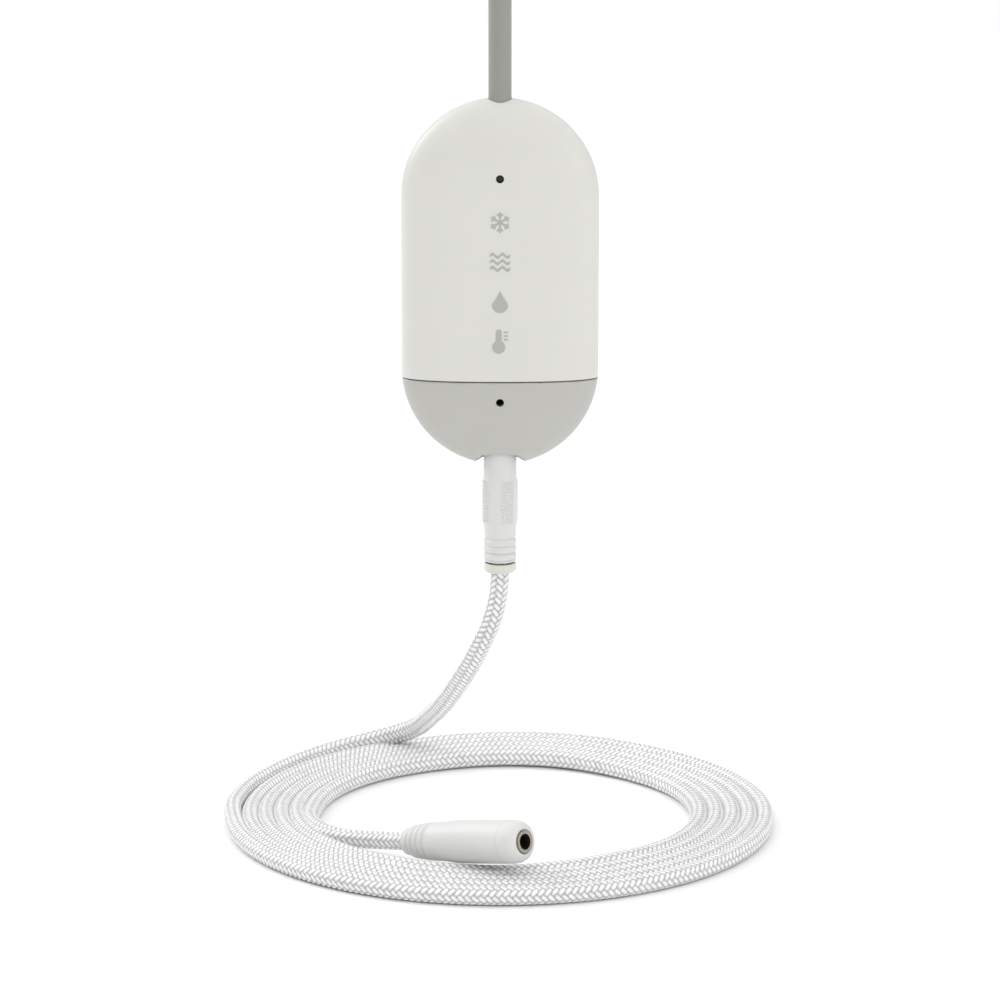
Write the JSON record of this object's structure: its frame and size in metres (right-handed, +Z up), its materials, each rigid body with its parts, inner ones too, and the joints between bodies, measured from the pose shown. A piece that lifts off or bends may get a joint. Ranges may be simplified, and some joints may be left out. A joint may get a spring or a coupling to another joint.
{
  "type": "water leak detector",
  "caption": "In-line water leak and temperature sensor pod on a lead, with a plug-in braided sensing cable laid in a flat coil that ends in a socket.",
  "frame": {"origin": "centre of the shoulder of the supply lead's plug pin, at the top end of the lead; the floor the coil lies on is 0.230 m below it", "axes": "+Z up along the lead and the supply plug's pin, +X to the pod's right as seen from its front, and the pod's front faces -Y"},
  "size_m": [0.1314, 0.1308, 0.244],
  "materials": {
    "white_housing": "satin, fine texture",
    "grey_housing": "satin, fine texture",
    "seal_rubber": "matt",
    "dark_rubber": "matt",
    "board_laminate": "solder mask",
    "component_black": "matt",
    "component_tan": "matt",
    "led_body": "clear epoxy over white",
    "smoked_lens": "smoked, polished",
    "steel": "satin",
    "nickel": "nickel plated, satin",
    "spring_metal": "plated",
    "lead_jacket": "satin",
    "lead_plug_grey": "satin",
    "wire_insulation": "satin",
    "white_moulding": "semi-gloss",
    "ivory_collar": "satin",
    "contact_insulator": "matt",
    "braid": "glossy monofilament braid",
    "flex_film": "polyimide",
    "port_film": "porous film"
  },
  "bodies": {
    "sensor": {"supply_lead": "lead_jacket", "lead_plug_moulding": "lead_plug_grey", "lead_plug_sleeve": "nickel", "lead_plug_rings": "nickel", "lead_plug_tip": "nickel", "lead_plug_insulator": "contact_insulator", "front_cover": "white_housing", "rear_shell": "white_housing", "lower_cap": "grey_housing", "case_seal": "seal_rubber", "case_screws": "steel", "circuit_board": "board_laminate", "controller_chip": "component_black", "sense_amplifier": "component_black", "board_passives": "component_tan", "status_led": "led_body", "light_pipe": "smoked_lens", "lead_sleeve": "dark_rubber", "lead_clamp": "steel", "clamp_screws": "steel", "lead_wires": "wire_insulation", "lead_crimp_housing": "component_black", "board_header": "component_black", "jack_body": "component_black", "jack_bush": "nickel", "jack_tip_spring": "spring_metal", "jack_ring_spring": "spring_metal", "sensor_flex": "flex_film", "climate_sensor": "component_black", "port_gasket": "dark_rubber", "port_membrane": "port_film", "cable_run_in": "braid", "cable_coil": "braid", "cable_tail": "braid", "socket_collar": "white_moulding", "socket_moulding": "white_moulding", "socket_bush": "nickel", "socket_insulator": "contact_insulator", "socket_contacts": "spring_metal"},
    "plug": {"plug_moulding": "white_moulding", "plug_sleeve": "nickel", "plug_ring": "nickel", "plug_tip": "nickel", "plug_insulator": "contact_insulator", "plug_crimp_sleeve": "steel", "plug_collar": "ivory_collar", "cable_drop": "braid"}
  },
  "joints": [
    {"name": "plug_pull", "type": "slide", "parent": "sensor", "child": "plug", "axis": [0, 0, -1], "range_m": [0, 0.017], "deforming": ["cable_drop"]}
  ]
}
